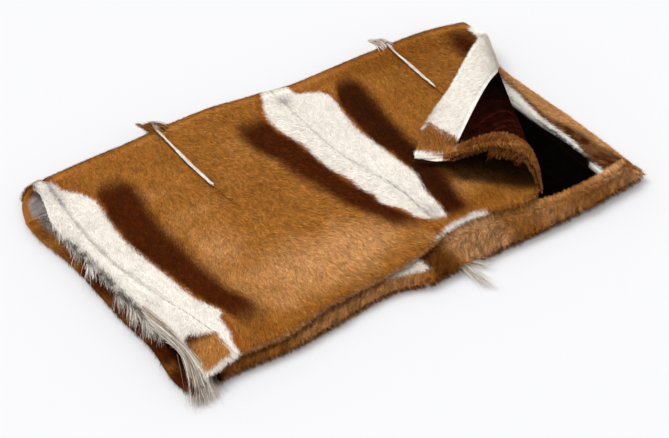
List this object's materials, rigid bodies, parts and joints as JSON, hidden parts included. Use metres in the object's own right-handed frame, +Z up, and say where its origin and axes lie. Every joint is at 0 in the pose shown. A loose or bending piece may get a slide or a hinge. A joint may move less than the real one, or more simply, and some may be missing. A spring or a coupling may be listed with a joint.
{
  "type": "skin kaross",
  "caption": "Folded kaross of short-haired antelope skins, fur outside and dark cloth lining, one corner turned back in a loose curl.",
  "frame": {"origin": "middle of the footprint, on the ground under the folded kaross", "axes": "+X along the fold, +Y from the open front to the fold, +Z up"},
  "size_m": [1.125, 0.777, 0.1152],
  "materials": {
    "fur_tan": "short soft fur, tan with dark and white bands",
    "fur_white": "short soft white fur",
    "lining_cloth": "dark brown woven cloth with a soft sheen"
  },
  "bodies": {
    "root": {"skin_top_left": "fur_white", "skin_top_middle": "fur_tan", "skin_top_right": "fur_tan", "skin_bottom_left": "fur_tan", "skin_bottom_right": "fur_tan", "lining": "lining_cloth", "lock_front_left": "fur_white", "lock_front": "fur_white", "lock_back_left": "fur_white", "lock_back_right": "fur_white"}
  },
  "joints": []
}
